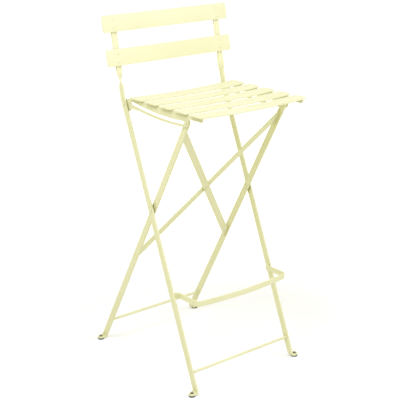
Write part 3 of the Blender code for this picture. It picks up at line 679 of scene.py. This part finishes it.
def rail_loops():
    """The seat rail's outline, pin slot and pivot hole, seen from +X, from the seat pivot on."""
    path = [pin_in_seat(LEG_FOLD_RANGE * step / SLOT_STEPS) for step in range(SLOT_STEPS + 1)]
    ahead = heading(path[0], path[1])
    behind = heading(path[-2], path[-1])
    slot = beside(path, SLOT_HALF)
    slot += arc(path[-1], SLOT_HALF, behind + pi / 2, behind - pi / 2)[1:-1]
    slot += beside(path, -SLOT_HALF)[::-1]
    slot += arc(path[0], SLOT_HALF, ahead - pi / 2, ahead - 3 * pi / 2)[1:-1]
    guide = [point for point in beside(path, -GUIDE_RADIUS) if point.y < -GUIDE_RADIUS]
    top = RAIL_HIGH.z - SEAT_PIVOT.z
    web = top - RAIL_FRONT_HEIGHT
    front = RAIL_LOW.y - SEAT_PIVOT.y
    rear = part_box("seat_slat_1")[1].y - SEAT_PIVOT.y
    nose = path[0].x - GUIDE_RADIUS
    corner = RAIL_FRONT_CORNER
    outline = [(front, top), (rear, top)]
    outline += arc((0, 0), GUIDE_RADIUS, pi / 2, -pi / 2, 2 * BEND_STEPS)
    outline += arc((-STOP_LUG_AHEAD, -GUIDE_RADIUS), STOP_LUG_RADIUS, 0, -pi)
    outline += guide[:0:-1]
    outline += arc(path[0], GUIDE_RADIUS, ahead - pi / 2, -pi)
    outline += arc((nose - corner, web - corner), corner, 0, pi / 2)
    outline += arc((front + corner, web + corner), corner, -pi / 2, -pi)
    hole = arc((0, 0), PIVOT_HOLE_RADIUS, 0, 2 * pi, 2 * BEND_STEPS)[:-1]
    return [outline, slot, hole]


def add_seat_rail(side_name, side):
    """A flat plate under the slats' ends, with the slot that the pin runs in."""
    place = frame_at(SEAT_PIVOT + Vector((side * RAIL_X, 0, 0)), (0, 1, 0), (0, 0, 1))
    name = f"{side_name}_seat_rail"
    dress(name, plate_mesh(name, rail_loops(), RAIL_THICKNESS, place), RAIL_PAINT_DEEP_PAINTED_SHADE)


def brace_ends():
    """Half the clear span between the rear legs, and half the height of a brace's end on a leg."""
    end_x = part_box("front_brace")[1].x
    slope = atan2(BRACE_SPAN, 2 * end_x)
    return end_x, BRACE_WIDTH / (2 * cos(slope))


def brace_frame(layer):
    """The frame of one brace's middle plane, ahead of the crossing or behind it."""
    ahead = Vector((1, 0, 0)).cross(SHORT_UP)
    place = middle("brace_rivet") + ahead * layer * (BRACE_THICKNESS + SEATING_GAP) / 2
    return frame_at(place, (1, 0, 0), SHORT_UP)


def add_brace(name, top_side, layer):
    """One flat bar of the rear X-brace, butted between the short bars."""
    end_x, rise = brace_ends()
    half = BRACE_SPAN / 2
    outline = [
        (top_side * end_x, half - rise),
        (top_side * end_x, half + rise),
        (-top_side * end_x, -half + rise),
        (-top_side * end_x, -half - rise),
    ]
    if top_side == RIGHT:
        outline.reverse()
    dress(name, plate_mesh(name, [outline], BRACE_THICKNESS, brace_frame(layer)))


def add_footrest(name):
    """A flat bar on edge, bent to a bowed U, with its ends turned out to the front legs."""
    low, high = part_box(name)
    half = FOOTREST_BAR_THICKNESS / 2
    up = Vector((0, 0, (high.z - low.z) / 2))
    legs = leg_point(0, LONG_UP, (low.z + high.z) / 2)
    arm = high.x - FOOTREST_INSET
    root = (arm + FOOTREST_ROOT_RADIUS, -FOOTREST_ROOT_AHEAD - FOOTREST_ROOT_RADIUS)
    left_root = ((-root[0], root[1]), -FOOTREST_ROOT_RADIUS, -pi / 2, -pi, BEND_STEPS)
    right_root = (root, -FOOTREST_ROOT_RADIUS, 0, -pi / 2, BEND_STEPS)
    front = bowed_end(arm, legs.y - low.y - half, FOOTREST_BOW, FOOTREST_CORNER)
    end = Vector((high.x, -FOOTREST_ROOT_AHEAD, 0))
    outside = Vector((0, -half, 0))
    left_end = rounded_end(legs + Vector((-end.x, end.y, 0)), up, outside, Vector((-1, 0, 0)))
    rings = left_end[::-1]
    for centre, radius, first, last, steps in [left_root] + front + [right_root]:
        for step in range(steps + 1):
            angle = first + (last - first) * step / steps
            out = Vector((cos(angle), sin(angle), 0))
            place = legs + Vector((centre[0], centre[1], 0)) + out * radius
            rings.append(bar_ring(place, up, out * half))
    rings += rounded_end(legs + end, up, outside, Vector((1, 0, 0)))
    dress(name, loft(name, rings))


def turned(name, profile, matrix, ring=False):
    """A profile of radius and height swept round local Z; a ring's profile closes on itself."""
    shape = bmesh.new()
    points = [shape.verts.new((radius, 0, height)) for radius, height in profile]
    runs = list(zip(points, points[1:]))
    if ring:
        runs.append((points[-1], points[0]))
    edges = [shape.edges.new(run) for run in runs]
    bmesh.ops.spin(
        shape,
        geom=points + edges,
        axis=(0, 0, 1),
        cent=(0, 0, 0),
        angle=2 * pi,
        steps=TURN_STEPS,
        use_merge=True,
    )
    shape.transform(matrix)
    return finished(name, shape)


def dome(radius, base, height):
    """A rivet head's profile, from the middle of its top down to the edge of its base."""
    return [(radius * sin(angle), base + height * cos(angle)) for angle in quarter_turn(DOME_STEPS)]


def rivet_profile(radius, head_radius, top, bottom, head_height):
    """A rivet with a domed head above top and a like tail below bottom."""
    head = dome(head_radius, top, head_height)
    tail = [(r, top + bottom - height) for r, height in head]
    return head + [(radius, top), (radius, bottom)] + tail[::-1]


def add_rivet(node, matrix, radius, head_radius, top, bottom):
    """A rivet along local Z that holds what lies between top and bottom."""
    profile = rivet_profile(radius, head_radius, top, bottom, RIVET_HEAD_HEIGHT)
    dress(node, turned(node, profile, matrix))


def add_side_rivets(side_name, side):
    """The scissor rivet with its spacer, and the seat's pivot rivet."""
    top = BAR_THICKNESS / 2 + SEATING_GAP
    place = outward(side, LEG_PIVOT, LONG_X)
    bottom = SHORT_X - LONG_X - top
    add_rivet(f"{side_name}_leg_rivet", place, LEG_RIVET_RADIUS, LEG_RIVET_HEAD_RADIUS, top, bottom)
    place = outward(side, SEAT_PIVOT, LONG_X)
    bottom = RAIL_X - LONG_X - RAIL_THICKNESS / 2 - SEATING_GAP
    add_rivet(f"{side_name}_seat_rivet", place, SEAT_RIVET_RADIUS, SEAT_RIVET_HEAD_RADIUS, top, bottom)
    spacer = f"{side_name}_leg_spacer"
    low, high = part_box(spacer)
    half = (high.x - low.x) / 2
    profile = [
        (SPACER_BORE_RADIUS, half),
        (SPACER_RADIUS - SPACER_EDGE, half),
        (SPACER_RADIUS, half - SPACER_EDGE),
        (SPACER_RADIUS, SPACER_EDGE - half),
        (SPACER_RADIUS - SPACER_EDGE, -half),
        (SPACER_BORE_RADIUS, -half),
    ]
    dress(spacer, turned(spacer, profile, outward(side, LEG_PIVOT, RAIL_X), ring=True))


def add_slot_pin(side_name, side):
    """A shouldered pin through the short bar, which runs in the rail's slot behind a domed head."""
    shoulder = BAR_THICKNESS / 2 + SEATING_GAP
    head = RAIL_X - SHORT_X + RAIL_THICKNESS / 2 + SEATING_GAP
    tail = [(r, -shoulder - h) for r, h in dome(SLOT_PIN_TAIL_RADIUS, 0, RIVET_HEAD_HEIGHT)]
    profile = dome(SLOT_PIN_HEAD_RADIUS, head, RIVET_HEAD_HEIGHT) + [
        (SLOT_PIN_RADIUS, head),
        (SLOT_PIN_RADIUS, shoulder),
        (SLOT_PIN_SHANK_RADIUS, shoulder),
        (SLOT_PIN_SHANK_RADIUS, -shoulder),
    ]
    name = f"{side_name}_slot_pin"
    dress(name, turned(name, profile + tail[::-1], outward(side, SLOT_PIN, SHORT_X)))


def add_back_rivets(slat):
    """The four rivets that hold a back slat on the posts."""
    inner = BACK_RIVET_PITCH / 2 - BACK_RIVET_HEAD_RADIUS
    slat_top = crown(inner, BACK_SLAT_WIDTH) + SLAT_SHEET
    top = BAR_THICKNESS / 2 + SEATING_GAP + slat_top + SEATING_GAP
    bottom = -BAR_THICKNESS / 2 - SEATING_GAP
    profile = rivet_profile(
        BACK_RIVET_RADIUS, BACK_RIVET_HEAD_RADIUS, top, bottom, BACK_RIVET_HEAD_HEIGHT
    )
    for side_name, side in SIDES.items():
        for level, step in (("lower", -1), ("upper", 1)):
            rise = back_slat_rise(slat) + step * BACK_RIVET_PITCH / 2
            place = POST_BEND + POST_UP * rise + Vector((side * LONG_X, 0, 0))
            node = f"{slat}_{side_name}_{level}_rivet"
            matrix = frame_at(place, (1, 0, 0), POST_UP)
            dress(node, turned(node, profile, matrix), BACK_PAINT_FAINT_PAINTED_SHADE)


def add_brace_rivet(name):
    """The rivet through both braces where they cross."""
    top = BRACE_THICKNESS + SEATING_GAP / 2 + SEATING_GAP
    matrix = frame_at(middle(name), (1, 0, 0), SHORT_UP)
    add_rivet(name, matrix, BRACE_RIVET_RADIUS, BRACE_RIVET_HEAD_RADIUS, top, -top)


def add_rod(name):
    """A round stretcher with a hollow fillet of weld at each end."""
    low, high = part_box(name)
    radius = (high.z - low.z) / 2
    end = (high.x - low.x) / 2
    fillet = []
    for angle in quarter_turn(EDGE_STEPS):
        fillet.append((radius + ROD_WELD * (1 - sin(angle)), end - ROD_WELD * (1 - cos(angle))))
    profile = [(0, end)] + fillet + [(r, -height) for r, height in reversed(fillet)] + [(0, -end)]
    matrix = frame_at((low + high) / 2, (0, 1, 0), (0, 0, 1))
    dress(name, turned(name, profile, matrix))


def add_glide(name):
    """Black plastic foot: a sole under the tab, a stem through it and a cap that holds it."""
    tab_top = TAB_HEIGHT + BAR_THICKNESS / 2 + SEATING_GAP
    profile = dome(GLIDE_CAP_RADIUS, tab_top, GLIDE_CAP_HEIGHT)
    profile += [(GLIDE_STEM_RADIUS, tab_top), (GLIDE_STEM_RADIUS, GLIDE_THICKNESS)]
    rim = GLIDE_RADIUS - GLIDE_EDGE
    profile += arc((rim, GLIDE_THICKNESS - GLIDE_EDGE), GLIDE_EDGE, pi / 2, 0, EDGE_STEPS)
    profile += arc((rim, GLIDE_EDGE), GLIDE_EDGE, 0, -pi / 2, EDGE_STEPS)
    profile.append((0, 0))
    sole = middle(name)
    mesh = turned(name, profile, Matrix.Translation((sole.x, sole.y, 0)))
    dress(name, mesh, PLASTIC)


def add_bead(shape, start, end):
    """A rippled bead of weld along a line, tapered at its ends."""
    line = end - start
    along = line.normalized()
    across = along.orthogonal().normalized()
    upward = along.cross(across)
    ripples = max(LEAST_RIPPLES, floor(line.length / BEAD_PITCH))
    count = RINGS_PER_RIPPLE * ripples
    rings = []
    for step in range(count + 1):
        share = step / count
        taper = sqrt(max(1 - (2 * share - 1) ** BEAD_TAPER_POWER, LEAST_BEAD_SHARE**2))
        radius = BEAD_RADIUS * taper * (1 - BEAD_RIPPLE * abs(cos(pi * ripples * share)))
        ring = []
        for point in range(BEAD_STEPS):
            angle = 2 * pi * point / BEAD_STEPS
            out = across * cos(angle) + upward * sin(angle)
            ring.append(start + line * share + out * radius)
        rings.append(ring)
    skin(shape, rings)


def add_seat_welds():
    """Short beads under each slat's long edges, along the inner face of both rails."""
    shape = bmesh.new()
    for index in range(SEAT_SLAT_COUNT):
        low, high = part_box(f"seat_slat_{index + 1}")
        for side in SIDES.values():
            x = side * (RAIL_X - RAIL_THICKNESS / 2)
            for edge, inward in ((low.y, 1), (high.y, -1)):
                start = Vector((x, edge + inward * BEAD_RADIUS, RAIL_HIGH.z))
                add_bead(shape, start, start + Vector((0, inward * SLAT_WELD_LENGTH, 0)))
    add_piece("seat_welds", finished("seat_welds", shape), "seat")


def add_brace_welds():
    """Beads down both faces of each brace's ends, against the rear legs."""
    shape = bmesh.new()
    end_x, rise = brace_ends()
    for top_side, layer in ((LEFT, 1), (RIGHT, -1)):
        matrix = brace_frame(layer)
        for x, height in ((top_side * end_x, BRACE_SPAN / 2), (-top_side * end_x, -BRACE_SPAN / 2)):
            for face in (-1, 1):
                depth = face * BRACE_THICKNESS / 2
                start = matrix @ Vector((x, height - rise + BEAD_RADIUS, depth))
                add_bead(shape, start, matrix @ Vector((x, height + rise - BEAD_RADIUS, depth)))
    add_piece("brace_welds", finished("brace_welds", shape), "rear_frame")


def add_footrest_welds():
    """Beads over and under each end of the footrest, across the front leg's inner face."""
    shape = bmesh.new()
    low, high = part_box("footrest")
    half = Vector((0, FOOTREST_BAR_THICKNESS / 2, 0))
    for side in SIDES.values():
        for height in (low.z, high.z):
            leg = leg_point(side * (high.x + SEATING_GAP), LONG_UP, (low.z + high.z) / 2)
            root = Vector((leg.x, leg.y - FOOTREST_ROOT_AHEAD, height))
            add_bead(shape, root - half, root + half)
    add_piece("footrest_welds", finished("footrest_welds", shape), "front_frame")


def background_share(tree):
    """1 for what the camera sees directly, in gloss or through glass, and 0 for light on the object."""
    path = tree.nodes.new("ShaderNodeLightPath")
    share = path.outputs["Is Camera Ray"]
    for name in ("Is Glossy Ray", "Is Transmission Ray"):
        share = combined(tree, "MAXIMUM", share, path.outputs[name])
    return share


def add_world():
    """White to look at, and an even soft light on the object."""
    world = bpy.data.worlds.new("studio")
    world.use_nodes = True
    bpy.context.scene.world = world
    tree = world.node_tree
    background = tree.nodes["Background"]
    share = background_share(tree)
    tree.links.new(blended(tree, share, FILL_TINT, WHITE), background.inputs["Color"])
    tree.links.new(spread(tree, share, FULL_RANGE, (FILL, 1)), background.inputs["Strength"])


def add_floor():
    """A pale floor that keeps the chair's shadow and meets the white background."""
    shape = bmesh.new()
    bmesh.ops.create_grid(shape, x_segments=1, y_segments=1, size=FLOOR_HALF)
    mesh = bpy.data.meshes.new("floor")
    shape.to_mesh(mesh)
    shape.free()
    material, tree, shader, coordinates = new_surface("pale_floor")
    shader.inputs["Base Color"].default_value = FLOOR_COLOUR
    shader.inputs["Roughness"].default_value = 1.0
    shader.inputs["Specular IOR Level"].default_value = 0.0
    shader.inputs["Emission Color"].default_value = WHITE
    distance = tree.nodes.new("ShaderNodeVectorMath")
    distance.operation = "LENGTH"
    tree.links.new(coordinates["Object"], distance.inputs[0])
    glow_range = (FLOOR_GLOW_NEAR, FLOOR_GLOW_FAR)
    glow = spread(tree, distance.outputs["Value"], (FLOOR_NEAR, FLOOR_FAR), glow_range)
    seen = combined(tree, "MULTIPLY", glow, background_share(tree))
    tree.links.new(seen, shader.inputs["Emission Strength"])
    mesh.materials.append(material)
    floor_object = bpy.data.objects.new("floor", mesh)
    bpy.context.scene.collection.objects.link(floor_object)


def add_soft_light(name, place, target, side, power):
    """A square lamp turned to its target."""
    lamp = bpy.data.lights.new(name, "AREA")
    lamp.shape = "SQUARE"
    lamp.size = side
    lamp.energy = power
    lamp.color = LAMP_TINT
    light = bpy.data.objects.new(name, lamp)
    light.location = place
    light.rotation_euler = (Vector(target) - Vector(place)).to_track_quat("-Z", "Y").to_euler()
    bpy.context.scene.collection.objects.link(light)


def add_camera():
    """The camera at the photograph's place and angle."""
    camera = bpy.data.cameras.new("camera")
    camera.sensor_width = CAMERA_SENSOR_MM
    camera.lens = CAMERA_LENS_MM
    stand = bpy.data.objects.new("camera", camera)
    level = cos(CAMERA_ELEVATION)
    look = Vector((-sin(CAMERA_AZIMUTH) * level, cos(CAMERA_AZIMUTH) * level, -sin(CAMERA_ELEVATION)))
    stand.location = CAMERA_PLACE
    stand.rotation_euler = look.to_track_quat("-Z", "Y").to_euler()
    bpy.context.scene.collection.objects.link(stand)
    bpy.context.scene.camera = stand


for side_name, side in SIDES.items():
    add_long_bar(side_name, side)
    add_short_bar(side_name, side)
    add_seat_rail(side_name, side)
    add_side_rivets(side_name, side)
    add_slot_pin(side_name, side)
    add_glide(f"front_{side_name}_glide")
    add_glide(f"rear_{side_name}_glide")

for slat in BACK_SLATS:
    add_back_slat(slat)
    add_back_rivets(slat)

for index in range(SEAT_SLAT_COUNT):
    add_seat_slat(f"seat_slat_{index + 1}")

add_rod("front_stretcher")
add_rod("rear_stretcher")
add_footrest("footrest")
add_brace("front_brace", LEFT, 1)
add_brace("rear_brace", RIGHT, -1)
add_brace_rivet("brace_rivet")
add_seat_welds()
add_brace_welds()
add_footrest_welds()

add_world()
add_floor()
for lamp in LAMPS:
    add_soft_light(*lamp)
add_camera()
bpy.context.scene.view_settings.view_transform = "Standard"
